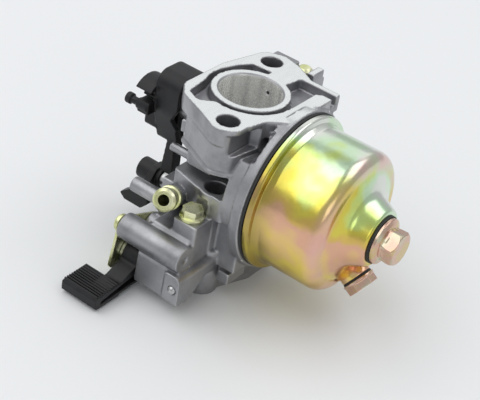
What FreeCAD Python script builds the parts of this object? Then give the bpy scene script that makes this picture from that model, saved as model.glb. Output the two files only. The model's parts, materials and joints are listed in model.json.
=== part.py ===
import FreeCAD, Part
import math
import os

import Sketcher

# A float-bowl carburetor for a small single-cylinder engine, in millimetres.
# The origin is the centre of the throttle bore at the engine-side flange face.
# +Z leaves that face along the throat, +X points at the bottom of the float bowl,
# and -Y is the front, where the fuel valve lever sticks out.

UP = FreeCAD.Vector(0, 0, 1)
SIDEWAYS = FreeCAD.Vector(0, 1, 0)
ALONG_X = (1, 0, 0)
ALONG_NEGATIVE_X = (-1, 0, 0)
ALONG_Y = (0, 1, 0)
ALONG_Z = (0, 0, 1)
ALONG_NEGATIVE_Z = (0, 0, -1)
SKETCH_FACING = {
    "X": FreeCAD.Rotation(SIDEWAYS, UP, FreeCAD.Vector(*ALONG_X), "XYZ"),
    "Y": FreeCAD.Rotation(FreeCAD.Vector(*ALONG_X), UP, -SIDEWAYS, "XYZ"),
    "Z": FreeCAD.Rotation(),
}

DIMENSIONS = {
    "throat_length": 62.0,
    "outlet_radius": 10.0,
    "venturi_radius": 8.0,
    "intake_radius": 12.0,
    "barrel_radius": 14.6,
    "flange_thickness": 5.8,
    "outlet_rim_radius": 12.65,
    "outlet_groove_radius": 14.3,
    "groove_depth": 3.5,
    "stud_x": 6.4,
    "stud_y": 20.0,
    "stud_hole_radius": 3.5,
    "air_stud_face_z": -24.0,
    "bowl_axis_z": -26.4,
    "bowl_seat_x": 20.6,
    "bowl_rim_radius": 26.2,
    "bowl_bottom_x": 54.3,
    "column_radius": 5.6,
    "gasket_thickness": 0.8,
    "throttle_z": -15.0,
    "choke_z": -47.6,
    "shaft_radius": 3.0,
    "running_gap": 0.05,
    "plate_thickness": 1.0,
    "valve_y": -32.0,
    "valve_z": -53.5,
    "valve_hub_radius": 5.5,
    "screw_boss_y": -35.6,
    "screw_boss_z": -42.3,
    "rear_boss_y": -22.4,
    "rear_boss_z": -48.2,
    "screw_boss_radius": 4.4,
    "valve_face_x": -6.0,
    "cover_x": -14.4,
    "float_pin_y": 15.6,
    "float_pin_x": 27.0,
    "float_pin_radius": 0.9,
    "ball_radius": 1.5,
    "bowl_sheet": 0.9,
    "needle_y": 9.4,
}


class Size:
    """A number together with the sheet formula that gives it."""

    def __init__(self, value, text):
        self.value = value
        self.text = text

    def __add__(self, other):
        other = size(other)
        return Size(self.value + other.value, f"({self.text} + {other.text})")

    def __sub__(self, other):
        other = size(other)
        return Size(self.value - other.value, f"({self.text} - {other.text})")

    def __mul__(self, factor):
        return Size(self.value * factor, f"({self.text} * {factor:.6f})")

    def __neg__(self):
        return self * -1

    def __radd__(self, other):
        return size(other) + self

    def __rsub__(self, other):
        return size(other) - self

    def __rmul__(self, factor):
        return self * factor


def size(value):
    """A plain number becomes a constant Size; a Size stays as it is."""
    if isinstance(value, Size):
        return value
    return Size(float(value), f"({float(value):.6f})")


class Sheet:
    """The driving dimensions, each one a cell of the sheet with its own alias."""

    def __init__(self, document, table):
        self.sheet = document.addObject("Spreadsheet::Sheet", "dims")
        for row, (alias, value) in enumerate(table.items(), start=1):
            self.sheet.set(f"A{row}", alias)
            self.sheet.set(f"B{row}", str(value))
            self.sheet.setAlias(f"B{row}", alias)
            setattr(self, alias, Size(value, f"dims.{alias}"))


doc = FreeCAD.newDocument("carburetor")
dim = Sheet(doc, DIMENSIONS)
doc.recompute()
pieces = {}


# ---------------------------------------------------------------- building blocks

def place(item, base, axis=ALONG_Z, spin=0):
    """Stands an item's own Z along the axis, with its origin at the base point."""
    turn = FreeCAD.Rotation(UP, FreeCAD.Vector(*axis))
    item.Placement = FreeCAD.Placement(FreeCAD.Vector(), turn * FreeCAD.Rotation(UP, spin))
    for letter, value in zip("xyz", base):
        item.setExpression(f"Placement.Base.{letter}", size(value).text)
    return item


def bind(item, **sizes):
    for name, value in sizes.items():
        item.setExpression(name, size(value).text)
    return item


def cylinder(name, radius, height, base, axis=ALONG_Z):
    item = bind(doc.addObject("Part::Cylinder", name), Radius=radius, Height=height)
    return place(item, base, axis)


def cone(name, start_radius, end_radius, height, base, axis=ALONG_Z):
    item = doc.addObject("Part::Cone", name)
    bind(item, Radius1=start_radius, Radius2=end_radius, Height=height)
    return place(item, base, axis)


def common(name, item, limit):
    """Keeps what two items share."""
    result = doc.addObject("Part::Common", name)
    result.Base = item
    result.Tool = limit
    result.Refine = False
    return result


def box(name, low, high):
    """A block from its lowest corner to its highest."""
    item = doc.addObject("Part::Box", name)
    spans = [size(top) - bottom for bottom, top in zip(low, high)]
    bind(item, Length=spans[0], Width=spans[1], Height=spans[2])
    return place(item, low)


def hexagon(name, across_flats, height, base, axis=ALONG_Z, spin=0):
    item = doc.addObject("Part::Prism", name)
    item.Polygon = 6
    bind(item, Circumradius=size(across_flats) * (1 / math.sqrt(3)), Height=height)
    return place(item, base, axis, spin)


def fuse(name, items):
    joined = doc.addObject("Part::MultiFuse", name)
    joined.Shapes = items
    joined.Refine = False
    return joined


def cut(name, item, tools):
    """Takes every tool away from the item."""
    result = doc.addObject("Part::Cut", name)
    result.Base = item
    result.Tool = tools[0] if len(tools) == 1 else fuse(f"{name}_tools", tools)
    result.Refine = False
    return result


def piece(node, item):
    item.Label = node
    pieces[node] = item
    return item


def rounded_outline(corners):
    """Straight sides joined by tangent arcs; a corner is (u, v) or (u, v, radius)."""
    points = [FreeCAD.Vector(corner[0], corner[1], 0) for corner in corners]
    radii = [corner[2] if len(corner) > 2 else 0 for corner in corners]
    count = len(points)
    starts = []
    ends = []
    arcs = []
    for i in range(count):
        here = points[i]
        back = (points[i - 1] - here).normalize()
        ahead = (points[(i + 1) % count] - here).normalize()
        if radii[i] == 0:
            starts.append(here)
            ends.append(here)
            arcs.append(None)
            continue
        half = back.getAngle(ahead) / 2
        reach = radii[i] / math.tan(half)
        middle = (back + ahead).normalize()
        centre = here + middle * (radii[i] / math.sin(half))
        first = here + back * reach
        last = here + ahead * reach
        top = centre - middle * radii[i]
        starts.append(first)
        ends.append(last)
        arcs.append(Part.Arc(first, top, last))
    edges = []
    for i in range(count):
        if arcs[i]:
            edges.append(arcs[i])
        following = starts[(i + 1) % count]
        if ends[i].distanceToPoint(following) > 1e-6:
            edges.append(Part.LineSegment(ends[i], following))
    return edges


def extrusion(name, corners, start, height, normal="Z"):
    """A sketched outline pushed along +Z, or along +X from (y, z), or along -Y from (x, z)."""
    sketch = doc.addObject("Sketcher::SketchObject", f"{name}_outline")
    sketch.addGeometry(rounded_outline(corners), False)
    sketch.Placement = FreeCAD.Placement(FreeCAD.Vector(), SKETCH_FACING[normal])
    sketch.setExpression(f"Placement.Base.{normal.lower()}", size(start).text)
    item = doc.addObject("Part::Extrusion", name)
    item.Base = sketch
    item.DirMode = "Normal"
    item.Solid = True
    return bind(item, LengthFwd=height)


def origin_plane(body, role):
    return next(item for item in body.Origin.OriginFeatures if item.Role == role)


def turned(name, profile, base, axis=ALONG_Z):
    """A lathe-turned piece: its profile is (radius, distance along the axis) points."""
    body = doc.addObject("PartDesign::Body", name)
    sketch = body.newObject("Sketcher::SketchObject", f"{name}_profile")
    sketch.AttachmentSupport = [(origin_plane(body, "XZ_Plane"), "")]
    sketch.MapMode = "FlatFace"
    corners = [(size(radius), size(along)) for radius, along in profile]
    count = len(corners)
    for i in range(count):
        radius, along = corners[i]
        next_radius, next_along = corners[(i + 1) % count]
        sketch.addGeometry(Part.LineSegment(
            FreeCAD.Vector(radius.value, along.value, 0),
            FreeCAD.Vector(next_radius.value, next_along.value, 0)), False)
    for i in range(count):
        sketch.addConstraint(Sketcher.Constraint("Coincident", i, 2, (i + 1) % count, 1))
    for i, (radius, along) in enumerate(corners):
        pin_coordinate(sketch, i, "DistanceX", radius, -2)
        pin_coordinate(sketch, i, "DistanceY", along, -1)
    revolution = body.newObject("PartDesign::Revolution", f"{name}_turning")
    revolution.Profile = sketch
    revolution.ReferenceAxis = (sketch, ["V_Axis"])
    revolution.Angle = 360
    return place(body, base, axis)


def pin_coordinate(sketch, line, kind, distance, origin_line):
    """Holds a line's start point at a distance from the sketch's own axis."""
    if abs(distance.value) < 1e-9:
        sketch.addConstraint(Sketcher.Constraint("PointOnObject", line, 1, origin_line))
        return
    sketch.addConstraint(Sketcher.Constraint(kind, -1, 1, line, 1, distance.value))
    sketch.setExpression(f"Constraints[{sketch.ConstraintCount - 1}]", distance.text)


def spun(name, corners, base, axis=ALONG_Z):
    """A spun sheet or lathe piece with rounded corners: (radius, along) or (radius, along, round)."""
    sketch = doc.addObject("Sketcher::SketchObject", f"{name}_section")
    sketch.addGeometry(rounded_outline(corners), False)
    sketch.Placement = FreeCAD.Placement(FreeCAD.Vector(), SKETCH_FACING["Y"])
    item = doc.addObject("Part::Revolution", name)
    item.Source = sketch
    item.Axis = UP
    item.Angle = 360
    item.Solid = True
    return place(item, base, axis)


def ring(name, inner, outer, height, base, axis=ALONG_Z):
    profile = [(inner, 0), (outer, 0), (outer, height), (inner, height)]
    return turned(name, profile, base, axis)


def offset(point, direction, distance):
    """A point moved along a direction."""
    length = math.sqrt(sum(part * part for part in direction))
    return tuple(size(value) + step * distance / length for value, step in zip(point, direction))


# ---------------------------------------------------------------- shared places

AIR_FACE_Z = -dim.throat_length
FRONT_STUD = (dim.stud_x, -dim.stud_y)
REAR_STUD = (-dim.stud_x, dim.stud_y)
NIPPLE_AXIS = (0.3, -0.86, 0.42)
NIPPLE_SEAT = (-3.5, -29.3, -28.8)
PLUG_SEAT = (4.8, -28.4, -32.2)
DRAIN_AXIS = (0.84, -0.04, -0.54)
DRAIN_SEAT = (48.5, 3.2, -46.2)
PILOT_POST = (-18.2, -40.6)
IDLE_SCREW = (-17.6, 12.8)
PILOT_SCREW = (14.5, -43.5)
BALL_PLACE = (9.4, -39.6, -51.6)


def bowl_point(along, across=0):
    """A point on the bowl's own axis, moved sideways along Y if asked."""
    return (along, across, dim.bowl_axis_z)


# ---------------------------------------------------------------- casting

def engine_flange():
    outline = [
        (-16, -13.2, 3), (-16, 7, 6), (-12.2, 24.2, 5), (-5.6, 26.8, 4), (1.2, 25, 3),
        (9, 20.6), (20, 20.6), (20, 9.4, 1), (18.4, 7, 1), (19.4, 3, 2), (19.4, -6.4, 3),
        (14.2, -11.6, 2), (12.6, -17.4, 3), (12.4, -23.4, 5), (6.6, -26.8, 4.5),
        (-2.2, -22.4, 4), (-12, -18.2, 4),
    ]
    return extrusion("engine_flange", outline, -dim.flange_thickness, dim.flange_thickness)


def throat_hull():
    """The wall of the casting that drops from the flange round the throat."""
    outline = [
        (-14.4, -5, 4), (-14.4, 9, 6), (-10, 17.5, 4), (6, 17.5, 4), (14, 12, 3),
        (14, -12, 2), (12.6, -19.4, 3), (-6.6, -19.4, 2.5), (-10.6, -12.4, 4),
    ]
    wall = extrusion("throat_wall", outline, dim.air_stud_face_z + 2, 22)
    barrel = cylinder("barrel", dim.barrel_radius, dim.throat_length, (0, 0, AIR_FACE_Z))
    stud_wall = extrusion("stud_wall", [
        (-11.2, -14, 3), (-10, -18.2, 3), (-2.4, -21.8, 4), (6.4, -26.2, 4.5), (12.2, -23.4, 4.5),
        (13.2, -15), (-11.2, -10),
    ], -15.4, 12)
    bead = extrusion("stud_wall_bead", [
        (-11.6, -14, 3), (-10.4, -18.8, 3), (-2.4, -22.4, 4), (6.4, -26.8, 4.5), (12.8, -23.8, 4.5),
        (13.6, -15), (-11.6, -10),
    ], -16.2, 1.2)
    return [wall, barrel, stud_wall, bead]


def air_side():
    """The stud bosses and the flange that the air cleaner bolts to."""
    outline = [
        (-5, -20, 5), (1, -25.4, 4), (10.4, -25.4, 4), (11.4, -17, 4), (15.4, -6, 6), (15.4, 6, 6),
        (8, 16, 6),
        (1.4, 26.6, 6), (-13.4, 26.6, 6), (-13.4, 12, 6), (-18, 6, 6), (-18, -8, 6),
    ]
    flange = extrusion("air_flange", outline, AIR_FACE_Z, 6)
    front = extrusion("front_stud_boss", [
        (-8.9, -21.8, 1.5), (1.6, -24.4, 5), (13.6, -25.4, 2), (15.4, -8), (-8.9, -8),
    ], -31.8, 7.8)
    front_column = cylinder("front_column", 5.4, 38, (*FRONT_STUD, AIR_FACE_Z))
    front_wall = box("front_wall", (4, -21.2, -50), (18.6, -8, -30))
    foot = box("front_foot", (13, -21.2, -55.6), (17, -12, -51.6))
    foot_web = box("front_foot_web", (6, -19.4, -56.5), (14, -6, -45))
    rear_height = dim.throat_length - 3
    rear = cylinder("rear_stud_boss", 6.2, rear_height, (*REAR_STUD, AIR_FACE_Z))
    return [flange, front, front_column, front_wall, foot, foot_web, rear]


def float_chamber_top():
    """The round lid of the float chamber and the boss it grows from."""
    flange_start = dim.bowl_seat_x - 3.6
    neck = cone("chamber_neck", 14, 21, 12.4, bowl_point(6), ALONG_X)
    lid = cylinder("chamber_lid", dim.bowl_rim_radius + 0.9, 3.6, bowl_point(flange_start), ALONG_X)
    column_length = dim.bowl_bottom_x - dim.bowl_sheet - 7
    column = cylinder("bowl_column", dim.column_radius, column_length, bowl_point(7), ALONG_X)
    return [neck, lid, column] + chamber_shoulders() + float_hinge_posts()


def chamber_shoulders():
    """Two thick stretches of the lid's wall, one in front and one up beside the flange."""
    inner = dim.bowl_rim_radius - 1
    front = common("front_shoulder", cylinder("front_shoulder_round", inner, 7, bowl_point(12), ALONG_X),
                   box("front_shoulder_reach", (11, -28, -31.4), (20, -12, -10.6)))
    upper = common("upper_shoulder", cylinder("upper_shoulder_round", inner, 3, bowl_point(16), ALONG_X),
                   box("upper_shoulder_reach", (15, -28, -11), (20, 12, -0.8)))
    return [front, upper]


def float_hinge_posts():
    """Two posts under the lid that carry the float's pin, one each side of its hub."""
    posts = []
    for side, name in ((1, "upper"), (-1, "lower")):
        middle = dim.bowl_axis_z + side * 5.4
        posts.append(box(f"{name}_hinge_post",
                         (dim.bowl_seat_x - 2, dim.float_pin_y - 1.9, middle - 1.6),
                         (dim.float_pin_x + 1.9, dim.float_pin_y + 1.9, middle + 1.6)))
    return posts


def fuel_valve_housing():
    """The block at the front corner that holds the fuel valve and its two screw bosses."""
    section = [
        (-38.6, -46.6, 1.5), (-39.4, -57.6, 1.6), (-21, -58.4, 3),
        (-14, -50, 2), (-14, -37), (-33, -37, 1),
    ]
    block = extrusion("valve_block", section, dim.valve_face_x, 14.6, "X")
    plate = extrusion("plug_plate", [
        (0.8, -32.6, 1), (9.6, -32.6, 0.8), (9.6, -19), (0.8, -19),
    ], -46, 13.8)
    web = box("boss_web", (-10.4, -36.4, -47.4), (dim.valve_face_x + 1, -28, -42))
    front_boss = cylinder(
        "front_screw_boss", dim.screw_boss_radius, 9.7 - dim.cover_x,
        (dim.cover_x, dim.screw_boss_y, dim.screw_boss_z), ALONG_X)
    rear_boss = cylinder(
        "rear_screw_boss", dim.screw_boss_radius, 18,
        (dim.cover_x, dim.rear_boss_y, dim.rear_boss_z), ALONG_X)
    side_web = box("valve_side_web", (dim.cover_x + 1.6, -22, -52), (dim.valve_face_x + 2, -8, -40))
    rail = extrusion("fuel_rail", [
        (5.8, -46.2, 1.2), (11.9, -46.2, 2.4), (11.9, -53, 2.4), (5.8, -53, 1.2),
    ], -4, 36.2, "Y")
    rail_end = extrusion("fuel_rail_end", [
        (-40.2, -48, 1), (-40.2, -57.2, 1.6), (-33.6, -57.2, 3), (-27, -52), (-27, -48),
    ], 5.8, 6.1, "X")
    return [block, plate, web, front_boss, rear_boss, side_web, rail, rail_end]


def small_bosses():
    """Shaft bearings, the pilot post, stop lugs and the nipple boss."""
    throttle_boss = cylinder("throttle_boss", 5.6, 14, (-22, 0, dim.throttle_z), ALONG_X)
    choke_boss = cylinder("choke_boss", 5.2, 12, (-19, 0, dim.choke_z), ALONG_X)
    post = cylinder("pilot_post", 2.6, 17, (-26, *PILOT_POST), ALONG_X)
    post_web = box("pilot_post_web", (-14, -20, -43), (2, -4, -31))
    stop_post = cylinder("stop_post", 1.5, 12, (-17.8, -12, -24.5), ALONG_X)
    stop_bracket = box("stop_bracket", (-14.8, -13.2, -17), (-8, -11.4, -12.6))
    nipple_boss = cylinder("nipple_boss", 3.6, 12, offset(NIPPLE_SEAT, NIPPLE_AXIS, -12), NIPPLE_AXIS)
    stop_lug = box("idle_screw_lug", (-20.3, 9.8, -30), (-8, 15.8, -24))
    screw_boss = cylinder("pilot_screw_boss", 4.0, 16, (-18, *PILOT_SCREW), ALONG_X)
    corner_lug = box("corner_lug", (-10.6, 22, -6.4), (-1.6, 29.4, -0.9))
    screw_lug = box("passage_screw_lug", (-2, 20, -9.4), (7.4, 31.6, -3.4))
    screw_ear = box("passage_screw_ear", (4.8, 24, -4), (7.4, 30.4, -0.2))
    return [throttle_boss, choke_boss, post, post_web, stop_post, stop_bracket, nipple_boss,
            stop_lug, screw_boss, corner_lug, screw_lug, screw_ear]


def throat_tool():
    """The air way: outlet bore, venturi and intake bore, with a broken entry edge."""
    return turned("throat_tool", [
        (0, 1), (dim.outlet_radius + 1.5, 1), (dim.outlet_radius, -0.5),
        (dim.outlet_radius, -23), (dim.venturi_radius, -30), (dim.intake_radius, -39),
        (dim.intake_radius, -dim.throat_length + 1.2), (dim.intake_radius + 1.2, -dim.throat_length),
        (dim.intake_radius + 1.2, -dim.throat_length - 1), (0, -dim.throat_length - 1),
    ], (0, 0, 0))


def flange_pocket_tool():
    """Weight-saving pockets beside the outlet rim and the groove that joins them."""
    left = extrusion("left_pocket", [
        (-11.8, -15.4, 1.5), (-14.2, 3, 4), (-12, 9.6, 4), (-9.4, 13.8, 1), (-2.6, 14.4),
        (-2.6, 6), (0, 0), (-2.6, -13.9), (-7, -17.6, 1.5),
    ], -dim.groove_depth, dim.groove_depth + 1)
    right = extrusion("right_pocket", [
        (8, 1), (14.6, 1.1), (14.6, 14.4, 0.5), (16.4, 15.7), (21, 15.7), (21, 18.5),
        (6.2, 18.5, 1), (5.4, 12), (5, 6),
    ], -dim.groove_depth, dim.groove_depth + 1)
    groove = cylinder("outlet_groove", dim.outlet_groove_radius, dim.groove_depth + 1,
                      (0, 0, -dim.groove_depth))
    rim = cylinder("outlet_rim", dim.outlet_rim_radius, 10, (0, 0, -8))
    web = extrusion("rim_web", [(-2.4, 6), (5, 6), (5.6, 19), (-2.4, 19)], -8, 10)
    return cut("flange_pockets", fuse("pocket_areas", [left, right, groove]), [rim, web])


def casting_holes():
    """Stud holes, shaft bearings, jets, screws and passages."""
    through = dim.throat_length + 4
    tools = []
    for name, (stud_x, stud_y) in {"front": FRONT_STUD, "rear": REAR_STUD}.items():
        tools.append(cylinder(f"{name}_stud_hole", dim.stud_hole_radius, through,
                              (stud_x, stud_y, AIR_FACE_Z - 2)))
    bearing = dim.shaft_radius + dim.running_gap
    tools.append(cylinder("throttle_bearing", bearing, 37, (-23, 0, dim.throttle_z), ALONG_X))
    tools.append(cylinder("choke_bearing", bearing, 42, (-26, 0, dim.choke_z), ALONG_X))
    tools.append(cylinder("throttle_seal_seat", 4.3, 2.1, (-22.1, 0, dim.throttle_z), ALONG_X))
    tools.append(cylinder("nozzle_bore", 2.6, 47, bowl_point(5), ALONG_X))
    tools.append(cylinder("bowl_bolt_thread", 3.05, 10, bowl_point(dim.bowl_bottom_x - 9), ALONG_X))
    needle_start = dim.bowl_seat_x - 12
    tools.append(cylinder("needle_seat_bore", 3.4, 14, bowl_point(needle_start, dim.needle_y),
                          ALONG_X))
    tools.append(cylinder("pilot_jet_bore", 1.8, 17.5,
                          (-26.2, *PILOT_POST), ALONG_X))
    tools.append(cylinder("pilot_outlet", 0.6, 14, (0, 0, -4.9), ALONG_Y))
    tools.append(cylinder("nipple_socket", 2.4, 14, offset(NIPPLE_SEAT, NIPPLE_AXIS, -12), NIPPLE_AXIS))
    tools.append(cylinder("plug_socket", 2.3, 10, (PLUG_SEAT[0], PLUG_SEAT[1], -42)))
    tools.append(cylinder("passage_screw_hole", 1.6, 8, (1.4, 28.2, -9)))
    tools.append(cylinder("idle_screw_hole", 1.95, 9, (*IDLE_SCREW, -31)))
    tools.append(cylinder("pilot_screw_hole", 1.95, 14, (-18.5, *PILOT_SCREW), ALONG_X))
    tools.append(cylinder("float_pin_bore", dim.float_pin_radius, 15,
                          (dim.float_pin_x, dim.float_pin_y, dim.bowl_axis_z - 7.5)))
    valve = (dim.valve_y, dim.valve_z)
    tools.append(cylinder("valve_packing_seat", 3.9, 2.6, (dim.valve_face_x - 0.1, *valve), ALONG_X))
    tools.append(cylinder("valve_port", 1.2, 12, (dim.valve_face_x, *valve), ALONG_X))
    for name, boss in {"front": (dim.screw_boss_y, dim.screw_boss_z),
                       "rear": (dim.rear_boss_y, dim.rear_boss_z)}.items():
        tools.append(cylinder(f"{name}_cover_screw_hole", 1.55, 9, (dim.cover_x - 0.1, *boss), ALONG_X))
    tools.append(cylinder("boss_end_mark", 1.1, 1, (9.1, dim.screw_boss_y, dim.screw_boss_z), ALONG_X))
    tools.append(cylinder("ball_plug_hole", dim.ball_radius + 0.03, 6, (BALL_PLACE[0], -44, BALL_PLACE[2]),
                          ALONG_Y))
    return tools


def casting_hollows():
    """Scoops and steps in the outside of the casting."""
    scoop = extrusion("stud_scoop", [(7.6, -28), (10.4, -23.4), (10.6, -13.6), (18, -11), (18, -28)],
                      -9, 7.2)
    under_step = box("plate_step", (10, -40, -45), (13, -21.2, -31.9))
    spot_face = cylinder("plug_spot_face", 4.2, 6, PLUG_SEAT)
    return [scoop, under_step, spot_face]


def body_casting():
    solids = [engine_flange()] + throat_hull() + air_side() + float_chamber_top()
    solids += fuel_valve_housing() + small_bosses()
    blank = fuse("casting_blank", solids)
    tools = [throat_tool(), flange_pocket_tool()] + casting_holes() + casting_hollows()
    piece("body_casting", cut("casting", blank, tools))


# ---------------------------------------------------------------- float bowl

def float_bowl():
    """A pressed steel cup: rolled rim, rounded shoulder, dished bottom and a raised bolt seat."""
    seat = dim.bowl_seat_x.value + dim.gasket_thickness.value
    rim = dim.bowl_rim_radius.value
    bottom = dim.bowl_bottom_x.value
    sheet = dim.bowl_sheet.value
    wall = rim - 2.7
    shoulder = bottom - 9.1
    outside = [
        (rim - 0.8, seat), (rim, seat + 0.3, 0.3), (rim, seat + 2.0, 0.9),
        (wall + 0.8, seat + 2.5, 0.7), (wall, seat + 4.4, 1.6), (wall, shoulder, 4.0),
        (wall - 5.1, shoulder + 0.5, 1.4), (wall - 11.2, shoulder + 3.0, 4.0),
        (wall - 14.1, bottom, 1.5), (3.2, bottom),
    ]
    inside = [
        (3.2, bottom - sheet), (wall - 14.8, bottom - sheet, 0.7), (wall - 11.8, shoulder + 2.2, 3.2),
        (wall - 5.2, shoulder - 0.4, 1.2), (wall - sheet, shoulder - 0.9, 3.1),
        (wall - sheet, seat + 4.0, 0.8), (wall + 0.2, seat + 1.2, 0.5), (wall + 0.4, seat),
    ]
    cup = spun("bowl_cup", outside + inside, bowl_point(0), ALONG_X)
    drain_hole = cylinder("drain_hole", 3.1, 9, offset(DRAIN_SEAT, DRAIN_AXIS, -7), DRAIN_AXIS)
    boss = cylinder("drain_boss", 5.0, 5.2, offset(DRAIN_SEAT, DRAIN_AXIS, -5.2), DRAIN_AXIS)
    piece("float_bowl", cut("bowl", fuse("bowl_with_boss", [cup, boss]), [drain_hole]))


def bowl_fasteners():
    seat = dim.bowl_seat_x
    gasket = ring("gasket_ring", dim.bowl_rim_radius - 2.2, dim.bowl_rim_radius + 0.2,
                  dim.gasket_thickness, bowl_point(seat), ALONG_X)
    piece("bowl_gasket", gasket)
    washer = ring("washer_ring", 3.2, 8.0, 0.7, bowl_point(dim.bowl_bottom_x), ALONG_X)
    piece("bowl_bolt_washer", washer)
    under_head = dim.bowl_bottom_x + 0.7
    shank = turned("bowl_bolt_shank", [
        (0, -8.2), (2.4, -8.2), (3.0, -7.6), (3.0, 0), (7.6, 0), (7.6, 1.1), (6.2, 1.9),
        (5.2, 2.2), (5.2, 3.0), (0, 3.0),
    ], bowl_point(under_head), ALONG_X)
    head = hexagon("bowl_bolt_hex", 10, 4.6, bowl_point(under_head + 2.0), ALONG_X, 14)
    crown = turned("bowl_bolt_crown", [(0, -1), (5.2, -1), (5.9, 5.6), (4.9, 6.8), (0, 6.8)],
                   bowl_point(under_head), ALONG_X)
    trimmed = doc.addObject("Part::Common", "bowl_bolt_head")
    trimmed.Base = head
    trimmed.Tool = crown
    piece("bowl_bolt", fuse("bowl_bolt_solid", [shank, trimmed]))


def drain_fasteners():
    piece("drain_washer", ring("drain_ring", 3.1, 5.0, 0.6, DRAIN_SEAT, DRAIN_AXIS))
    under_head = offset(DRAIN_SEAT, DRAIN_AXIS, 0.6)
    shank = turned("drain_bolt_shank", [
        (0, -5), (2.6, -5), (3.0, -4.5), (3.0, 0), (5.4, 0), (5.4, 0.7), (4.2, 1.1), (0, 1.1),
    ], under_head, DRAIN_AXIS)
    head = hexagon("drain_bolt_hex", 9, 2.6, offset(DRAIN_SEAT, DRAIN_AXIS, 1.4), DRAIN_AXIS, 10)
    piece("drain_bolt", fuse("drain_bolt_solid", [shank, head]))


# ---------------------------------------------------------------- fuel metering

def jets():
    nozzle = turned("nozzle_turning", [
        (0.8, 0), (1.7, 0), (1.7, 12), (2.55, 13), (2.55, 30), (0.8, 30),
    ], bowl_point(5.4), ALONG_X)
    piece("main_nozzle", nozzle)
    main_jet = turned("main_jet_turning", [(0.4, 0), (2.55, 0), (2.55, 5), (0.4, 5)],
                      bowl_point(36), ALONG_X)
    piece("main_jet", main_jet)
    pilot = turned("pilot_jet_turning", [
        (0, 0), (1.75, 0), (1.75, 12), (0.9, 14.6), (0, 14.6),
    ], (-25.6, *PILOT_POST), ALONG_X)
    piece("pilot_jet", pilot)


def float_and_needle():
    """A ring-shaped float on a hinge pin, with the needle valve that it lifts."""
    ring_body = ring("float_ring", 8.2, 20.4, 10.6, bowl_point(29.8), ALONG_X)
    hub = cylinder("float_hub", 2.0, 7, (dim.float_pin_x, dim.float_pin_y, dim.bowl_axis_z - 3.5))
    arm = box("float_arm", (dim.float_pin_x - 0.8, 8.6, dim.bowl_axis_z - 3.5),
              (dim.float_pin_x + 0.8, dim.float_pin_y, dim.bowl_axis_z + 3.5))
    link = box("float_link", (dim.float_pin_x - 0.6, 9.6, dim.bowl_axis_z - 3.5),
               (32, 12, dim.bowl_axis_z + 3.5))
    pin_hole = cylinder("float_pin_hole", dim.float_pin_radius + dim.running_gap, 20,
                        (dim.float_pin_x, dim.float_pin_y, dim.bowl_axis_z - 10))
    blank = fuse("float_blank", [ring_body, hub, arm, link])
    piece("float", cut("float_solid", blank, [pin_hole]))
    pin = cylinder("float_pin_rod", dim.float_pin_radius, 15,
                   (dim.float_pin_x, dim.float_pin_y, dim.bowl_axis_z - 7.5))
    piece("float_pin", pin)
    seat = turned("needle_seat_turning", [(1.2, 0), (3.35, 0), (3.35, 6), (2.35, 6), (2.35, 2), (1.2, 1)],
                  bowl_point(dim.bowl_seat_x - 8, dim.needle_y), ALONG_X)
    piece("needle_seat", seat)
    needle = turned("needle_turning", [
        (0, 0.4), (1.6, 2.6), (2.1, 3.4), (2.1, 10), (1.4, 12.9), (0, 12.9),
    ], bowl_point(dim.bowl_seat_x - 7.6, dim.needle_y), ALONG_X)
    piece("needle_valve", needle)


# ---------------------------------------------------------------- throttle

def throttle_set():
    """The throttle shaft with its plate, screw, seal and plastic lever."""
    rod = cylinder("throttle_rod", dim.shaft_radius, 44.5, (-31.5, 0, dim.throttle_z), ALONG_X)
    half_plate = dim.plate_thickness * 0.5
    flat = box("throttle_flat", (-9.98, -5, dim.throttle_z - half_plate), (9.98, 5, dim.throttle_z + 5))
    screw_hole = cylinder("throttle_screw_hole", 1.2, 8, (0, 0, dim.throttle_z - 5))
    end_hole = cylinder("throttle_end_hole", 1.2, 8, (-32, 0, dim.throttle_z), ALONG_X)
    piece("throttle_shaft", cut("throttle_rod_cut", rod, [flat, screw_hole, end_hole]))
    disc = cylinder("throttle_disc", dim.outlet_radius - 0.1, dim.plate_thickness,
                    (0, 0, dim.throttle_z - half_plate))
    disc_hole = cylinder("throttle_disc_hole", 1.2, 4, (0, 0, dim.throttle_z - 2))
    piece("throttle_plate", cut("throttle_disc_cut", disc, [disc_hole]))
    screw = turned("throttle_plate_screw_turning", pan_head_screw(1.2, 3.4, 2.3, 1.3),
                   (0, 0, dim.throttle_z + half_plate))
    piece("throttle_plate_screw", screw)
    piece("throttle_seal", ring("throttle_seal_ring", dim.shaft_radius + 0.1, 4.25, 1.9,
                                (-22, 0, dim.throttle_z), ALONG_X))
    end_screw = turned("throttle_lever_screw_turning", pan_head_screw(1.2, 6, 3.4, 1.8),
                       (-32.1, 0, dim.throttle_z), ALONG_NEGATIVE_X)
    piece("throttle_lever_screw", end_screw)
    throttle_lever()


def pan_head_screw(shank_radius, length, head_radius, head_height):
    """The profile of a screw: its head stands on the piece's own zero plane."""
    edge = head_height * 0.4
    return [(0, -length), (shank_radius * 0.7, -length), (shank_radius, -length + 0.4),
            (shank_radius, 0), (head_radius, 0), (head_radius, head_height - edge),
            (head_radius - edge, head_height), (0, head_height)]


def hood_outline(inset):
    """The tall rounded section of the throttle lever's hood, as (y, z) corners."""
    return [
        (-8.9 + inset, -4.0 - inset, 5 - inset), (-8.9 + inset, -16.6, 9), (-4.6 + inset, -29.6 + inset, 1.5),
        (6 - inset, -29.6 + inset, 2), (6 - inset, -4.0 - inset, 5 - inset),
    ]


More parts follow.
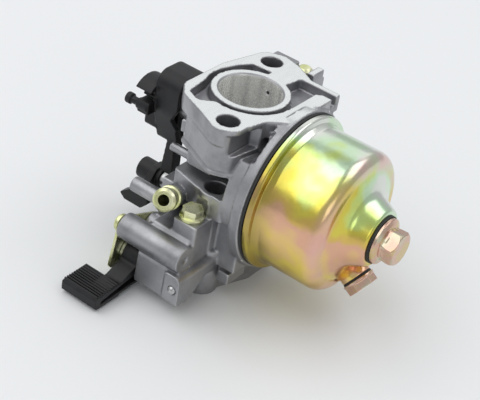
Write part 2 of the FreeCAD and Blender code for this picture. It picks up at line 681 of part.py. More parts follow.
def throttle_lever():
    """A moulded lever: hood, hub, long arm, idle tab and the slotted peg of the linkage."""
    face = extrusion("hood_face", hood_outline(0), -29.6, 1.8, "X")
    skirt = extrusion("hood_skirt", hood_outline(0), -29, 9.0, "X")
    hollow = extrusion("hood_hollow", hood_outline(1.7), -27.8, 12, "X")
    open_back = box("hood_back_opening", (-27.8, -2, -40), (-18, 14, -20))
    notch = extrusion("hood_notch", [
        (-19, -13.4), (-19.4, -13.4), (-22.6, -19.4), (-20.4, -23.2), (-19, -23.2),
    ], -4, 8, "Y")
    boss_room = cylinder("hood_boss_room", 6.4, 4, (-22.6, 0, dim.throttle_z), ALONG_X)
    low_edge = box("hood_low_edge", (-21, -12, -31), (-18, 12, -23))
    wall = cut("hood_wall", skirt, [hollow, open_back, notch, boss_room, low_edge])
    hub = cylinder("lever_hub", 4.4, 9.6, (-32.1, 0, dim.throttle_z), ALONG_X)
    arm = extrusion("lever_arm", [
        (-25.2, -25), (-26.8, -42, 1), (-22, -42, 1), (-22.5, -25),
    ], 0.4, 4.6, "Y")
    arm_root = box("lever_arm_root", (-29.4, -4.2, -29.6), (-22.5, 0.4, -17.6))
    tab = box("idle_tab", (-27, 6.6, -16.8), (-16.8, 15, -13.4))
    tab_root = box("idle_tab_root", (-28.4, 3, -16.8), (-22.8, 9, -11.4))
    heel = extrusion("lever_heel", [
        (-6.4, -18.6, 0.5), (-6.3, -25.8, 1.5), (-1.6, -29.4, 1), (2, -29.4, 0.5), (2, -18.6),
    ], -34.2, 5, "X")
    bracket = box("peg_bracket", (-33.4, -12, -19), (-29, -3.8, -14.6))
    peg = cylinder("peg", 1.9, 9, (-38.6, -10.6, -16.8), ALONG_X)
    groove_outer = cylinder("peg_groove_outer", 3, 2.6, (-36.6, -10.6, -16.8), ALONG_X)
    groove_inner = cylinder("peg_groove_inner", 1.3, 4, (-37, -10.6, -16.8), ALONG_X)
    groove = cut("peg_groove", groove_outer, [groove_inner])
    fins = []
    for number in range(3):
        low = -13.8 + number * 1.7
        fins.append(box(f"face_fin_{number}", (-33.6, -9.4, low), (-29, -3.8, low + 0.9)))
    blank = fuse("lever_blank", [face, wall, hub, arm, arm_root, tab, tab_root, ridge_wall(), bracket,
                                 peg, heel] + fins)
    bore = cylinder("lever_bore", dim.shaft_radius, 20, (-31.5, 0, dim.throttle_z), ALONG_X)
    end_hole = cylinder("lever_end_hole", 1.2, 4, (-33, 0, dim.throttle_z), ALONG_X)
    piece("throttle_lever", cut("lever_solid", blank, [bore, end_hole, groove]))


def ridge_wall():
    """A short curved wall that stands on the hood's face above the peg."""
    middle = (-5.5, -16)
    outer = cylinder("ridge_outer", 8, 6.4, (-35.2, *middle), ALONG_X)
    inner = cylinder("ridge_inner", 6.2, 8, (-36, *middle), ALONG_X)
    sector = box("ridge_sector", (-37, -12, -11), (-29, -0.6, -6))
    return common("ridge_arc", cut("ridge_ring", outer, [inner]), sector)


# ---------------------------------------------------------------- choke

def choke_set():
    """The choke shaft with its plate, screw and lever, open at rest."""
    rod = cylinder("choke_rod", dim.shaft_radius, 52, (-36.4, 0, dim.choke_z), ALONG_X)
    half_plate = dim.plate_thickness * 0.5
    flat = box("choke_flat", (-11.98, -half_plate, dim.choke_z - 5), (11.98, 5, dim.choke_z + 5))
    screw_hole = cylinder("choke_screw_hole", 1.2, 9, (0, -5, dim.choke_z), ALONG_Y)
    piece("choke_shaft", cut("choke_rod_cut", rod, [flat, screw_hole]))
    disc = cylinder("choke_disc", dim.intake_radius - 0.15, dim.plate_thickness,
                    (0, -half_plate, dim.choke_z), ALONG_Y)
    disc_hole = cylinder("choke_disc_hole", 1.2, 4, (0, -2, dim.choke_z), ALONG_Y)
    vent = cylinder("choke_vent", 2.2, 4, (0, -2, dim.choke_z - 7.4), ALONG_Y)
    piece("choke_plate", cut("choke_disc_cut", disc, [disc_hole, vent]))
    screw = turned("choke_plate_screw_turning", pan_head_screw(1.2, 3.4, 2.3, 1.3),
                   (0, half_plate, dim.choke_z), ALONG_Y)
    piece("choke_plate_screw", screw)
    choke_lever()


def choke_lever():
    hub = cylinder("choke_hub", 3.8, 9.6, (-36.9, 0, dim.choke_z), ALONG_X)
    plate = extrusion("choke_lever_plate", [
        (4.2, -43.6, 3), (4.2, -51.4, 4), (-9, -53.2, 2), (-11, -53.2, 1), (-11, -49.8, 1),
        (-6, -47.4, 2), (-3, -43.4, 3),
    ], -31.4, 2.6, "X")
    finger = extrusion("choke_finger", [
        (-35.6, -51.4, 0.6), (-33.2, -53.4, 0.8), (-26.2, -53.2, 0.6), (-23.6, -50.4, 0.6),
        (-23.8, -48.8, 0.6), (-31.6, -48.4, 0.6),
    ], -9.8, 3.2, "Y")
    blank = fuse("choke_lever_blank", [hub, plate, finger])
    bore = cylinder("choke_lever_bore", dim.shaft_radius, 12, (-36.4, 0, dim.choke_z), ALONG_X)
    piece("choke_lever", cut("choke_lever_solid", blank, [bore]))


# ---------------------------------------------------------------- adjusting screws

def coil_spring(name, radius, wire, height, turns, base, axis=ALONG_Z):
    """An open coil of round wire; its ends are plain."""
    helix = Part.makeHelix(height / turns, height, radius)
    section = Part.Wire(Part.Circle(FreeCAD.Vector(radius, 0, 0), SIDEWAYS, wire / 2).toShape())
    solid = Part.Wire(helix).makePipeShell([section], True, True)
    item = doc.addObject("Part::Feature", name)
    item.Shape = solid
    return place(item, base, axis)


def adjusting_screws():
    idle = turned("idle_screw_turning", [
        (0, -19.0), (1.1, -19.0), (1.9, -18.0), (1.9, 0), (3.2, 0), (3.2, 2), (2.6, 2.6), (0, 2.6),
    ], (*IDLE_SCREW, -36), ALONG_NEGATIVE_Z)
    idle_slot = box("idle_slot", (IDLE_SCREW[0] - 4, IDLE_SCREW[1] - 0.4, -39.4),
                    (IDLE_SCREW[0] + 4, IDLE_SCREW[1] + 0.4, -37.4))
    piece("idle_stop_screw", cut("idle_screw_solid", idle, [idle_slot]))
    piece("idle_screw_spring", coil_spring("idle_spring", 2.5, 0.7, 4.9, 5, (*IDLE_SCREW, -35.5)))
    pilot = turned("pilot_screw_turning", [
        (0, -20), (0.6, -17), (1.9, -15), (1.9, 0), (3.1, 0), (3.1, 2.2), (0, 2.2),
    ], (-25, *PILOT_SCREW), ALONG_NEGATIVE_X)
    pilot_slot = box("pilot_slot", (-28, PILOT_SCREW[0] - 0.4, -47.5), (-26.2, PILOT_SCREW[0] + 0.4, -39))
    piece("pilot_screw", cut("pilot_screw_solid", pilot, [pilot_slot]))
    piece("pilot_screw_spring", coil_spring("pilot_spring", 2.5, 0.7, 6.2, 6,
                                            (-24.6, *PILOT_SCREW), ALONG_X))


# ---------------------------------------------------------------- fuel inlet and valve

def inlet_fittings():
    nipple = turned("nipple_turning", [
        (1.8, -4), (2.35, -4), (2.35, 0), (3.9, 0), (3.9, 1.8), (3.2, 2.2), (3.2, 4.4),
        (3.7, 5.0), (3.7, 7.0), (2.9, 7.9), (1.8, 7.9),
    ], NIPPLE_SEAT, NIPPLE_AXIS)
    piece("fuel_nipple", nipple)
    plug_flange = turned("plug_turning", [
        (0, -5), (2.2, -5), (2.2, 0), (3.9, 0), (3.9, 1.1), (2.9, 1.4), (0, 1.4),
    ], PLUG_SEAT)
    plug_hex = hexagon("plug_hex", 6.0, 3.6, PLUG_SEAT, ALONG_Z, 20)
    piece("inlet_plug", fuse("plug_solid", [plug_flange, plug_hex]))
    ball = bind(doc.addObject("Part::Sphere", "ball"), Radius=dim.ball_radius)
    piece("ball_plug", place(ball, BALL_PLACE))
    passage = turned("passage_screw_turning", pan_head_screw(1.55, 5, 2.7, 2.2), (1.4, 28.2, -3.4))
    piece("passage_screw", passage)


def fuel_valve():
    """The quarter-turn fuel tap: lever, wave spring, rubber packing and cover plate."""
    pivot = (dim.valve_y, dim.valve_z)
    hub = cylinder("valve_hub", dim.valve_hub_radius, 6.6, (-13.1, *pivot), ALONG_X)
    arm = extrusion("valve_arm", [
        (-31, -59, 1), (-36, -60.4, 1), (-55.4, -61.2, 0.8), (-55.4, -57.2, 0.8), (-44, -56.4, 3),
        (-38, -53.6, 2), (-34, -50.2),
    ], -13.1, 6.3, "X")
    paddle = extrusion("valve_paddle", [
        (-44.2, -61.2, 0.8), (-55.4, -61.2, 0.8), (-55.4, -57.4, 0.8), (-44.2, -56.7, 0.5),
    ], -21, 14.2, "X")
    grips = []
    for number in range(10):
        start = -54.9 + number * 1.05
        grips.append(box(f"grip_{number}", (-20.6, start, -58), (-7.2, start + 0.55, -56.3)))
    slot = extrusion("valve_arm_slot", [
        (-53, -60, 0.3), (-53, -59, 0.3), (-37, -56.6, 0.4), (-36, -59.2, 0.4),
    ], -8.6, 4, "X")
    blank = fuse("valve_lever_blank", [hub, arm, paddle] + grips)
    piece("fuel_valve_lever", cut("valve_lever_solid", blank, [slot]))
    piece("fuel_valve_packing", ring("packing_ring", 1.3, 3.8, 2.6, (-6.3, *pivot), ALONG_X))
    piece("fuel_valve_spring", ring("wave_spring_ring", 3.4, 5.0, 0.9, (-14.2, *pivot), ALONG_X))
    cover = extrusion("cover_sheet", [
        (-38.6, -42.6, 2.5), (-34.8, -39.6, 3), (-18.4, -45.6, 2.5), (-17.6, -52.4, 4),
        (-29, -59.4, 5), (-41.2, -56.8, 1.5),
    ], dim.cover_x - 1, 1, "X")
    bosses = {"front": (dim.screw_boss_y, dim.screw_boss_z), "rear": (dim.rear_boss_y, dim.rear_boss_z)}
    holes = []
    screws = []
    for name, boss in bosses.items():
        holes.append(cylinder(f"{name}_cover_hole", 1.6, 3, (dim.cover_x - 2, *boss), ALONG_X))
        screws.append(turned(f"{name}_cover_screw", pan_head_screw(1.5, 8.4, 2.9, 1.9),
                             (dim.cover_x - 1, *boss), ALONG_NEGATIVE_X))
    piece("fuel_valve_cover", cut("cover_plate", cover, holes))
    together = doc.addObject("Part::Compound", "cover_screw_pair")
    together.Links = screws
    piece("cover_screws", together)


# ---------------------------------------------------------------- build and write

def check_document():
    """Stops if a feature has failed or a sub-part has no sound shape."""
    for item in doc.Objects:
        if "Invalid" in item.State or "Error" in item.State:
            raise RuntimeError(f"{item.Name} failed: {item.State}")
    for node, item in pieces.items():
        if item.Shape.isNull() or not item.Shape.isValid():
            raise RuntimeError(f"{node} has no sound shape")
        if item.Shape.Volume <= 0:
            raise RuntimeError(f"{node} has no volume")


def write_pieces():
    os.makedirs("parts", exist_ok=True)
    for node, item in pieces.items():
        item.Shape.exportStep(f"parts/{node}.step")
        print(f"{node}: {len(item.Shape.Solids)} solid, {item.Shape.Volume:.1f} mm3")


body_casting()
float_bowl()
bowl_fasteners()
drain_fasteners()
jets()
float_and_needle()
throttle_set()
choke_set()
adjusting_screws()
inlet_fittings()
fuel_valve()
doc.recompute()
check_document()
write_pieces()
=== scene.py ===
import json
import math

import bpy
from mathutils import Matrix, Vector


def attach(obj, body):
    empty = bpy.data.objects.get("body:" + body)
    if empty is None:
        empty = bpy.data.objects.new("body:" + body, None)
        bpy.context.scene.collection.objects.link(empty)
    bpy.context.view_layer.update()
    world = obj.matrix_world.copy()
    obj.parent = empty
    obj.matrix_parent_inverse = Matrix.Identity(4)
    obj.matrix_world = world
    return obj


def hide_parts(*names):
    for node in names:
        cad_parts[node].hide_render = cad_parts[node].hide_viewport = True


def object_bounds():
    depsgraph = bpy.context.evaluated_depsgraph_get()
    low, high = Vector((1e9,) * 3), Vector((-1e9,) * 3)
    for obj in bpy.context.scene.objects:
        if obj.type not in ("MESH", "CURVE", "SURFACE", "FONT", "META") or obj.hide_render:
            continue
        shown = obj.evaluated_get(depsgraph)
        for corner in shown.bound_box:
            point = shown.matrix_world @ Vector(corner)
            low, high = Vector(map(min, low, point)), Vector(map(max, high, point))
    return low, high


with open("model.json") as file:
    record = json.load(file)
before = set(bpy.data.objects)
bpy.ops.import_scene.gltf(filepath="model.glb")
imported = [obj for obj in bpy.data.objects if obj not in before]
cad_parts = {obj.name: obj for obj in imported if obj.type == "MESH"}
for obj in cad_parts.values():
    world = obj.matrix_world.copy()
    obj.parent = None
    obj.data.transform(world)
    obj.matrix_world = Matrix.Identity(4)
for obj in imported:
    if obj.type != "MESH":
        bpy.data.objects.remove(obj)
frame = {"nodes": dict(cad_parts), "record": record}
cad_low, cad_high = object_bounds()
nodes = frame["nodes"]

# Sizes and places are in millimetres. Z runs along the throat, and X along the bowl.
MM = 0.001
THROTTLE_BORE_RADIUS = 10
THROTTLE_BORE_END_Z = -23.5
CHOKE_BORE_RADIUS = 12
STUD_BOSS_Z = -24
BOWL_AXIS_Z = -26.4
BOWL_START_X = 21.4
BOWL_BOTTOM_X = 54.3
BOWL_RIM_RADIUS = 26.2
BOWL_WALL_RADIUS = BOWL_RIM_RADIUS - 2.7
BOWL_SHOULDER_X = BOWL_BOTTOM_X - 9.1
BOWL_SHEET = 0.9
BOWL_BOLT_HOLE_RADIUS = 3.2
DRAIN_AXIS = Vector((0.84, -0.04, -0.54)).normalized()
DRAIN_SEAT = Vector((48.5, 3.2, -46.2))
DRAIN_BOSS_RADIUS = 5.0
DRAIN_BOSS_LENGTH = 5.2
DRAIN_HOLE_RADIUS = 3.1


# ------------------------------------------------------------------ node helpers

def new_material(name):
    """A node material with its output and its shader already joined."""
    material = bpy.data.materials.new(name)
    material.use_nodes = True
    tree = material.node_tree
    shader = tree.nodes["Principled BSDF"]
    return material, tree, shader


def add(tree, kind, inputs=None, **settings):
    """Makes a node, sets its properties, then sets or links its inputs."""
    node = tree.nodes.new(kind)
    for name, value in settings.items():
        setattr(node, name, value)
    for name, value in (inputs or {}).items():
        if isinstance(value, bpy.types.NodeSocket):
            tree.links.new(value, node.inputs[name])
        else:
            node.inputs[name].default_value = value
    return node


def coordinates(tree, scale=(1, 1, 1)):
    """Object coordinates in millimetres, stretched."""
    source = add(tree, "ShaderNodeTexCoord").outputs["Object"]
    mapping = add(tree, "ShaderNodeMapping", {"Vector": source})
    mapping.inputs["Scale"].default_value = tuple(1000 * value for value in scale)
    return mapping.outputs["Vector"]


def split(tree, vector):
    node = add(tree, "ShaderNodeSeparateXYZ", {"Vector": vector})
    return node.outputs["X"], node.outputs["Y"], node.outputs["Z"]


def noise(tree, scale, detail=4.0, roughness=0.55, vector=None):
    vector = vector or coordinates(tree)
    node = add(tree, "ShaderNodeTexNoise", {"Vector": vector, "Scale": scale, "Detail": detail,
                                            "Roughness": roughness})
    return node.outputs["Fac"]


def ramp(tree, factor, stops):
    """Blends softly through (position, colour) stops."""
    node = add(tree, "ShaderNodeValToRGB", {"Fac": factor})
    node.color_ramp.interpolation = "EASE"
    elements = node.color_ramp.elements
    while len(elements) < len(stops):
        elements.new(0.5)
    for element, (position, colour) in zip(elements, stops):
        element.position = position
        element.color = (*colour, 1)
    return node.outputs["Color"]


def mix_colours(tree, factor, first, second):
    """Goes from the first colour to the second as the factor goes from nought to one."""
    node = add(tree, "ShaderNodeMix", data_type="RGBA")
    factor_socket, first_socket, second_socket = node.inputs[0], node.inputs[6], node.inputs[7]
    for socket, value in ((factor_socket, factor), (first_socket, first), (second_socket, second)):
        if isinstance(value, bpy.types.NodeSocket):
            tree.links.new(value, socket)
        elif isinstance(value, tuple):
            socket.default_value = (*value, 1)
        else:
            socket.default_value = value
    return node.outputs[2]


def maths(tree, operation, first, second=0.0):
    node = add(tree, "ShaderNodeMath", operation=operation)
    for socket, value in zip(node.inputs, (first, second)):
        if isinstance(value, bpy.types.NodeSocket):
            tree.links.new(value, socket)
        else:
            socket.default_value = value
    return node.outputs[0]


def times(tree, first, second):
    return maths(tree, "MULTIPLY", first, second)


def distance(tree, first, second):
    """How far a point is from an axis, from its two offsets across that axis."""
    return maths(tree, "SQRT", maths(tree, "ADD", times(tree, first, first), times(tree, second, second)))


def spread(tree, value, low, high, start=0.0, end=1.0):
    """Maps a value from one span to another and holds it at the ends."""
    node = add(tree, "ShaderNodeMapRange", {"Value": value, "From Min": low, "From Max": high,
                                            "To Min": start, "To Max": end})
    return node.outputs["Result"]


def bump(tree, shader, height, depth, strength):
    """Raises the surface by up to the depth, which is in metres."""
    node = add(tree, "ShaderNodeBump", {"Height": height, "Distance": depth, "Strength": strength})
    tree.links.new(node.outputs["Normal"], shader.inputs["Normal"])


def geometry(tree, output):
    return add(tree, "ShaderNodeNewGeometry").outputs[output]


# ------------------------------------------------------------------ materials

def bore_mask(tree, x, y, z):
    """One on the throat's wall, nought outside it: the throat is wider at its air-cleaner end."""
    across = distance(tree, x, y)
    in_narrow = spread(tree, across, THROTTLE_BORE_RADIUS + 0.1, THROTTLE_BORE_RADIUS + 0.4, 1, 0)
    below_face = spread(tree, z, -0.3, -0.6)
    in_wide = spread(tree, across, CHOKE_BORE_RADIUS + 0.1, CHOKE_BORE_RADIUS + 0.4, 1, 0)
    past_throttle = spread(tree, z, THROTTLE_BORE_END_Z, THROTTLE_BORE_END_Z - 1.5)
    return maths(tree, "MAXIMUM", times(tree, in_narrow, below_face), times(tree, in_wide, past_throttle))


def machined_mask(tree, z):
    """One on the engine face, a third on the stud bosses' ends, nought elsewhere."""
    flat_top = spread(tree, split(tree, geometry(tree, "Normal"))[2], 0.93, 0.985)
    engine_face = times(tree, flat_top, spread(tree, z, -0.6, -0.25))
    off_bosses = maths(tree, "ABSOLUTE", maths(tree, "SUBTRACT", z, STUD_BOSS_Z))
    boss_ends = times(tree, flat_top, spread(tree, off_bosses, 0.5, 0.3))
    return maths(tree, "MAXIMUM", engine_face, times(tree, boss_ends, 0.35))


def cast_skin(tree):
    """Cloudy grey, with painted shade darkening its corners and creases, and rubbed bright along its
    edges.
    """
    skin = ramp(tree, noise(tree, 0.11, 5), [
        (0.3, (0.27, 0.27, 0.285)), (0.55, (0.37, 0.37, 0.385)), (0.75, (0.47, 0.47, 0.48)),
    ])
    edge_wear_and_corner_shade = geometry(tree, "Pointiness")
    # Painted shade: where the pointiness is low, in corners and creases, the skin is darkened almost to
    # black.
    skin = mix_colours(tree, spread(tree, edge_wear_and_corner_shade, 0.495, 0.44), skin, (0.10, 0.10, 0.11))
    # Real wear: sharp edges are rubbed bright.
    return mix_colours(tree, spread(tree, edge_wear_and_corner_shade, 0.53, 0.60), skin, (0.80, 0.80, 0.80))


def cast_metal():
    """Die-cast alloy: dull grainy skin with painted shade in its corners, edges rubbed bright, machined
    end faces and a smooth bore.
    """
    material, tree, shader = new_material("cast_metal")
    x, y, z = split(tree, coordinates(tree))
    cut_face = machined_mask(tree, z)
    bore = bore_mask(tree, x, y, z)
    smooth = maths(tree, "MAXIMUM", cut_face, bore)
    tool_marks = noise(tree, 1.0, 2, 0.5, coordinates(tree, (0.6, 0.10, 1)))
    milled = ramp(tree, tool_marks, [(0.3, (0.76, 0.78, 0.78)), (0.7, (0.80, 0.82, 0.81))])
    streak = noise(tree, 1.0, 1, 0.5, coordinates(tree, (0.22, 0.22, 0.01)))
    polished = ramp(tree, streak, [
        (0.36, (0.62, 0.62, 0.60)), (0.5, (0.84, 0.84, 0.81)), (0.6, (0.98, 0.98, 0.95)),
    ])
    colour = mix_colours(tree, cut_face, cast_skin(tree), milled)
    tree.links.new(mix_colours(tree, bore, colour, polished), shader.inputs["Base Color"])
    grain = noise(tree, 1.5, 6, 0.65)
    rough = maths(tree, "SUBTRACT", spread(tree, grain, 0.3, 0.7, 0.36, 0.5), times(tree, smooth, 0.16))
    tree.links.new(rough, shader.inputs["Roughness"])
    tree.links.new(spread(tree, bore, 0, 1, 0.9, 0.5), shader.inputs["Metallic"])
    bump(tree, shader, times(tree, grain, maths(tree, "SUBTRACT", 1.0, smooth)), 0.00007, 0.4)
    return material


def film_colour(tree):
    """The rainbow film on the bowl: bands round it, a painted dark olive reflection near the rim, a pink
    shoulder, soft clouds.
    """
    x, y, z = split(tree, coordinates(tree))
    height = maths(tree, "SUBTRACT", z, BOWL_AXIS_Z)
    across = distance(tree, y, height)
    cloud = maths(tree, "SUBTRACT", noise(tree, 0.065, 2.0, 0.5), 0.5)
    around = spread(tree, maths(tree, "ADD", height, times(tree, y, 0.45)), -29, 29)
    film = maths(tree, "ADD", around, times(tree, cloud, 0.8))
    dish = spread(tree, across, 18.5, 15.5)
    film = maths(tree, "ADD", film, times(tree, dish, 0.14))
    colour = ramp(tree, film, [
        (0.02, (0.60, 0.42, 0.06)), (0.20, (0.86, 0.68, 0.12)), (0.34, (0.82, 0.56, 0.24)),
        (0.44, (0.76, 0.44, 0.30)), (0.53, (0.72, 0.50, 0.14)), (0.64, (0.72, 0.62, 0.10)),
        (0.75, (0.62, 0.76, 0.24)), (0.86, (0.62, 0.80, 0.56)), (0.97, (0.76, 0.78, 0.72)),
    ])
    # Painted reflection: a dark olive band near the rim, fading towards the top, stands in for dark
    # surroundings mirrored in the bowl.
    near_rim = spread(tree, x, BOWL_START_X + 9.6, BOWL_START_X + 2.6)
    painted_dark_reflection = times(tree, near_rim, spread(tree, cloud, -0.2, 0.1, 0.35, 0.75))
    painted_dark_reflection = times(tree, painted_dark_reflection, spread(tree, around, 0.86, 0.70))
    colour = mix_colours(tree, painted_dark_reflection, colour, (0.34, 0.28, 0.06))
    near_shoulder = spread(tree, x, BOWL_SHOULDER_X - 3.7, BOWL_SHOULDER_X - 0.7)
    shoulder = times(tree, near_shoulder, spread(tree, across, 17.5, 19.5))
    shoulder = times(tree, shoulder, spread(tree, cloud, -0.15, 0.1, 0.15, 0.75))
    return mix_colours(tree, shoulder, colour, (0.78, 0.47, 0.42))


def bowl_plating():
    """The bowl's chromate film over slightly wavy pressed steel."""
    material, tree, shader = new_material("bowl_plating")
    tree.links.new(film_colour(tree), shader.inputs["Base Color"])
    shader.inputs["Metallic"].default_value = 1.0
    grain = noise(tree, 0.9, 4)
    tree.links.new(spread(tree, grain, 0.3, 0.7, 0.19, 0.27), shader.inputs["Roughness"])
    bump(tree, shader, noise(tree, 0.10, 2), 0.0007, 0.3)
    return material


def plated(name, stops, roughness, scale):
    """Passivated zinc: a metal whose colour drifts a little."""
    material, tree, shader = new_material(name)
    tree.links.new(ramp(tree, noise(tree, scale, 3), stops), shader.inputs["Base Color"])
    shader.inputs["Metallic"].default_value = 1.0
    grain = noise(tree, 1.4, 4)
    rough = spread(tree, grain, 0.3, 0.7, roughness * 0.8, roughness * 1.3)
    tree.links.new(rough, shader.inputs["Roughness"])
    bump(tree, shader, grain, 0.00002, 0.25)
    return material


def plain_metal(name, colour, roughness):
    """Bare metal with faint darker clouds."""
    material, tree, shader = new_material(name)
    tone = noise(tree, 0.4, 4)
    darker = tuple(channel * 0.8 for channel in colour)
    tree.links.new(ramp(tree, tone, [(0.3, darker), (0.7, colour)]), shader.inputs["Base Color"])
    shader.inputs["Metallic"].default_value = 1.0
    rough = spread(tree, tone, 0.3, 0.7, roughness * 0.8, roughness * 1.2)
    tree.links.new(rough, shader.inputs["Roughness"])
    bump(tree, shader, noise(tree, 3.0, 3), 0.00003, 0.4)
    return material


def moulded(name, colour, roughness):
    """Moulded plastic or rubber with slightly rubbed edges."""
    material, tree, shader = new_material(name)
    tone = noise(tree, 0.25, 4)
    lighter = tuple(channel * 1.6 + 0.004 for channel in colour)
    base = ramp(tree, tone, [(0.3, colour), (0.75, lighter)])
    rubbed = tuple(channel * 3.0 + 0.02 for channel in colour)
    edges = spread(tree, geometry(tree, "Pointiness"), 0.53, 0.62, 0, 0.7)
    tree.links.new(mix_colours(tree, edges, base, rubbed), shader.inputs["Base Color"])
    shader.inputs["Specular IOR Level"].default_value = 0.35
    rough = spread(tree, tone, 0.3, 0.7, roughness * 0.85, roughness * 1.15)
    tree.links.new(rough, shader.inputs["Roughness"])
    bump(tree, shader, noise(tree, 2.2, 5, 0.7), 0.00005, 0.5)
    return material


PINK_FILM = [(0.35, (0.66, 0.52, 0.26)), (0.5, (0.70, 0.46, 0.36)), (0.65, (0.62, 0.58, 0.42))]
PALE_FILM = [(0.35, (0.66, 0.68, 0.34)), (0.65, (0.86, 0.86, 0.58))]
materials = {
    "cast_metal": cast_metal(),
    "yellow_zinc": bowl_plating(),
    "pink_zinc": plated("pink_zinc", PINK_FILM, 0.22, 0.16),
    "pale_zinc": plated("pale_zinc", PALE_FILM, 0.3, 0.2),
    "steel": plain_metal("steel", (0.58, 0.58, 0.58), 0.3),
    "brass": plain_metal("brass", (0.72, 0.52, 0.22), 0.28),
    "black_plastic": moulded("black_plastic", (0.009, 0.009, 0.010), 0.45),
    "rubber": moulded("rubber", (0.010, 0.010, 0.010), 0.65),
    "float_plastic": moulded("float_plastic", (0.05, 0.035, 0.02), 0.5),
}
for part in frame["record"]["subparts"]:
    node = nodes[part["node"]]
    node.data.materials.clear()
    node.data.materials.append(materials[part["material_slot"]])


# ------------------------------------------------------------------ softer edges

def soften(node_name, grain_mm, passes):
    """Rebuilds a piece's skin on a fine even grid and rounds its edges a little."""
    node = nodes[node_name]
    rebuild = node.modifiers.new("even_skin", "REMESH")
    rebuild.mode = "VOXEL"
    rebuild.voxel_size = grain_mm * MM
    rebuild.use_smooth_shade = True
    relax = node.modifiers.new("rounded_edges", "SMOOTH")
    relax.factor = 0.5
    relax.iterations = passes


COARSER = 1.0
# Each piece's grid in millimetres, and how many times its edges are smoothed.
SOFTENED = {
    "body_casting": (0.34, 4), "throttle_lever": (0.22, 3), "fuel_valve_lever": (0.17, 2),
    "choke_lever": (0.2, 3), "fuel_nipple": (0.11, 3), "inlet_plug": (0.11, 3),
    "bowl_bolt": (0.16, 3), "drain_bolt": (0.14, 3), "fuel_valve_cover": (0.14, 2),
    "cover_screws": (0.12, 2), "passage_screw": (0.12, 2),
}
for softened_node, (grid, rounds) in SOFTENED.items():
    soften(softened_node, grid * COARSER, rounds)


# ------------------------------------------------------------------ the bowl

def rounded(corners, steps=8):
    """Points along a path of (radius, along, rounding) corners, each rounding drawn as an arc."""
    path = []
    for index, corner in enumerate(corners):
        here = Vector(corner[:2])
        if len(corner) == 2:
            path.append(here)
            continue
        back = (Vector(corners[index - 1][:2]) - here).normalized()
        ahead = (Vector(corners[index + 1][:2]) - here).normalized()
        half = back.angle(ahead) / 2
        reach = corner[2] / math.tan(half)
        centre = here + (back + ahead).normalized() * (corner[2] / math.sin(half))
        start = here + back * reach - centre
        turn = -start.angle_signed(here + ahead * reach - centre)
        for step in range(steps + 1):
            path.append(centre + Matrix.Rotation(turn * step / steps, 2) @ start)
    return path


def lathe(name, path, base, axis, turns=256):
    """Spins a closed path of (radius, along) points, in millimetres, about an axis through base."""
    facing = Vector(axis).to_track_quat("Z", "Y").to_matrix()
    vertices = []
    for turn in range(turns):
        angle = 2 * math.pi * turn / turns
        for radius, along in path:
            spot = Vector((radius * math.cos(angle), radius * math.sin(angle), along))
            vertices.append((Vector(base) + facing @ spot) * MM)
    count = len(path)
    faces = []
    for turn in range(turns):
        here = turn * count
        there = (turn + 1) % turns * count
        for point in range(count):
            after = (point + 1) % count
            faces.append((here + point, there + point, there + after, here + after))
    mesh = bpy.data.meshes.new(name)
    mesh.from_pydata(vertices, [], faces)
    mesh.update()
    for face in mesh.polygons:
        face.use_smooth = True
    item = bpy.data.objects.new(name, mesh)
    bpy.context.scene.collection.objects.link(item)
    return item


def bowl_path():
    """The bowl's outside and then its inside, as (radius, along the bowl's axis)."""
    rim, wall, seat = BOWL_RIM_RADIUS, BOWL_WALL_RADIUS, BOWL_START_X
    shoulder, bottom, hole = BOWL_SHOULDER_X, BOWL_BOTTOM_X, BOWL_BOLT_HOLE_RADIUS
    inner_wall = wall - BOWL_SHEET
    inner_bottom = bottom - BOWL_SHEET
    outside = [
        (rim - 0.8, seat), (rim, seat + 0.3, 0.3), (rim, seat + 2.0, 0.9),
        (wall + 0.8, seat + 2.5, 0.7), (wall, seat + 4.4, 1.6), (wall, shoulder, 4.0),
        (wall - 5.1, shoulder + 0.5, 1.4), (wall - 11.2, shoulder + 3.0, 4.0),
        (wall - 14.1, bottom, 1.5), (hole, bottom),
    ]
    inside = [
        (hole, inner_bottom), (wall - 14.8, inner_bottom, 0.7), (wall - 11.8, shoulder + 2.2, 3.2),
        (wall - 5.2, shoulder - 0.4, 1.2), (inner_wall, shoulder - 0.9, 3.1),
        (inner_wall, seat + 4.0, 0.8), (wall + 0.2, seat + 1.2, 0.5), (wall + 0.4, seat),
    ]
    return rounded(outside + inside)


def make_bowl():
    """The thin pressed bowl and the boss that its drain bolt screws into."""
    bowl = lathe("bowl_shell", bowl_path(), (0, 0, BOWL_AXIS_Z), (1, 0, 0))
    boss_path = rounded([
        (DRAIN_HOLE_RADIUS, -DRAIN_BOSS_LENGTH), (DRAIN_BOSS_RADIUS, -DRAIN_BOSS_LENGTH),
        (DRAIN_BOSS_RADIUS, 0, 0.5), (DRAIN_HOLE_RADIUS, 0),
    ])
    boss = lathe("bowl_drain_boss", boss_path, DRAIN_SEAT, DRAIN_AXIS, 96)
    for item in (bowl, boss):
        item.data.materials.append(materials["yellow_zinc"])
        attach(item, "carburetor_body")
        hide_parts("float_bowl")


make_bowl()


# ------------------------------------------------------------------ stage, light and camera

def make_stage():
    """A plain pale floor at the height of the lowest face."""
    bpy.ops.mesh.primitive_plane_add(size=6, location=(0, 0, cad_low[2]))
    floor = bpy.context.object
    floor.name = "floor"
    material, _, shader = new_material("pale_floor")
    shader.inputs["Base Color"].default_value = (0.83, 0.84, 0.85, 1)
    shader.inputs["Roughness"].default_value = 0.6
    floor.data.materials.append(material)


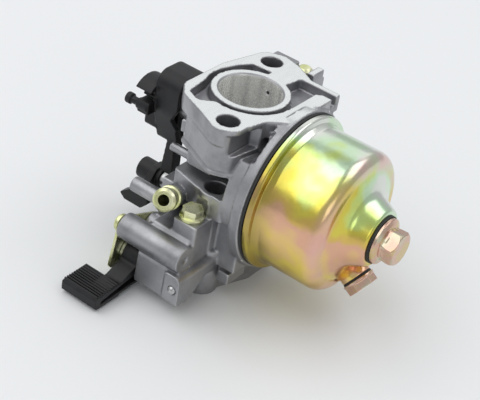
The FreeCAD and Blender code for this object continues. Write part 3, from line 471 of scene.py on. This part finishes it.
def area_light(name, place, target, width, height, power):
    """A rectangular light at a place, turned to a target; metres and watts."""
    light = bpy.data.lights.new(name, "AREA")
    light.shape = "RECTANGLE"
    light.size = width
    light.size_y = height
    light.energy = power
    item = bpy.data.objects.new(name, light)
    item.location = place
    item.rotation_euler = (Vector(target) - Vector(place)).to_track_quat("-Z", "Y").to_euler()
    bpy.context.scene.collection.objects.link(item)


def make_lights():
    """An even pale surround with four soft lamps."""
    world = bpy.data.worlds.new("studio")
    world.use_nodes = True
    background = world.node_tree.nodes["Background"]
    background.inputs["Color"].default_value = (0.93, 0.95, 0.97, 1)
    background.inputs["Strength"].default_value = 0.55
    bpy.context.scene.world = world
    area_light("key_light", (-0.50, -0.40, 1.00), (0, 0, 0), 1.7, 1.2, 7.7)
    area_light("top_light", (0.45, 0.50, 1.00), (0, 0, 0), 1.0, 0.8, 3.2)
    area_light("back_light", (-0.40, 0.70, 0.55), (0, 0, 0), 1.0, 0.5, 0.75)
    area_light("side_light", (0.85, -0.45, 0.35), (0.02, 0, -0.02), 0.5, 0.4, 0.6)


def make_camera():
    """Looks down at the front from the bowl's side, rolled a little."""
    azimuth = math.radians(30.89)
    elevation = math.radians(34.40)
    roll = math.radians(10.71)
    place = Vector((176.3, -289.0, 190.8))
    back = Vector((math.sin(azimuth) * math.cos(elevation),
                   -math.cos(azimuth) * math.cos(elevation), math.sin(elevation)))
    level = Vector((math.cos(azimuth), math.sin(azimuth), 0))
    over = back.cross(level)
    right = level * math.cos(roll) + over * math.sin(roll)
    above = over * math.cos(roll) - level * math.sin(roll)
    data = bpy.data.cameras.new("camera")
    data.sensor_width = 36
    data.lens = 94.69
    data.clip_start = 0.01
    camera = bpy.data.objects.new("camera", data)
    turn = Matrix((right, above, back)).transposed().to_4x4()
    camera.matrix_world = Matrix.Translation(place * MM) @ turn
    bpy.context.scene.collection.objects.link(camera)
    bpy.context.scene.camera = camera


make_stage()
make_lights()
make_camera()
bpy.context.scene.view_settings.view_transform = "Standard"
